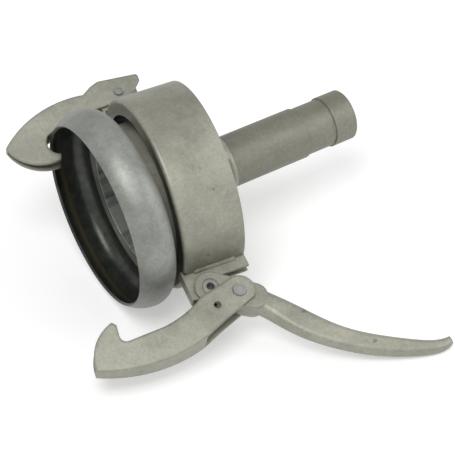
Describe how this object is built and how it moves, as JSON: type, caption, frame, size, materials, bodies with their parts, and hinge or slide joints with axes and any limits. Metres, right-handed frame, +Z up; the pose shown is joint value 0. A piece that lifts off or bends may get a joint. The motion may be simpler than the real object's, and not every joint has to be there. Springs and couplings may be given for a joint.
{
  "type": "lever lock ball coupling half",
  "caption": "Ball half of a pipe coupling with a straight tail, a loose lever ring, a lever-drawn hook and an opposite counter hook.",
  "frame": {"origin": "on the pipe axis, 20 mm behind the plane of the ball's mouth", "axes": "+X along the pipe axis from the mouth to the tail, +Z up as the part lies on the floor, lever side towards -Y"},
  "size_m": [0.3882, 0.415, 0.22],
  "materials": {
    "galvanised": "dull hot-dip zinc",
    "galvanised_cast": "dull hot-dip zinc over a cast lever",
    "galvanised_pin": "dull zinc"
  },
  "bodies": {
    "coupling": {"ball_shell": "galvanised", "neck_tube": "galvanised", "reducer": "galvanised", "tail_tube": "galvanised", "ball_weld": "galvanised", "neck_weld": "galvanised", "tail_weld": "galvanised", "stop_hoop": "galvanised"},
    "ring": {"lever_ring": "galvanised", "lever_bracket": "galvanised", "counter_bracket": "galvanised", "lever_bracket_weld_1": "galvanised", "lever_bracket_weld_2": "galvanised", "counter_bracket_weld_1": "galvanised", "counter_bracket_weld_2": "galvanised", "lever_pivot": "galvanised_pin", "counter_pin": "galvanised_pin"},
    "lever": {"lever": "galvanised_cast"},
    "pin": {"hook_pin": "galvanised_pin"},
    "hook": {"lever_hook": "galvanised"},
    "counter_hook": {"counter_hook": "galvanised"}
  },
  "joints": [
    {"name": "ring_turn", "type": "hinge", "parent": "coupling", "child": "ring", "pos_m": [0, 0, 0], "axis": [1, 0, 0], "continuous": true},
    {"name": "lever_swing", "type": "hinge", "parent": "ring", "child": "lever", "pos_m": [0.05005, -0.11387, -0.05096], "axis": [0.0335, 0.3614, -0.9318], "range_deg": [-36, 30]},
    {"name": "pin_turn", "type": "hinge", "parent": "lever", "child": "pin", "pos_m": [0.07358, -0.13103, -0.05677], "axis": [0.0335, 0.3614, -0.9318], "range_deg": [-36, 40]},
    {"name": "hook_swing", "type": "hinge", "parent": "pin", "child": "hook", "pos_m": [0.07358, -0.13103, -0.05677], "axis": [0.0335, 0.3614, -0.9318], "range_deg": [-45, 10]},
    {"name": "counter_hook_swing", "type": "hinge", "parent": "ring", "child": "counter_hook", "pos_m": [0.07451, 0.11734, 0.0396], "axis": [0.0335, 0.3614, -0.9318], "range_deg": [0, 35]}
  ],
  "couplings": [
    {"joint": "pin_turn", "follows": "lever_swing", "ratio": -1}
  ]
}
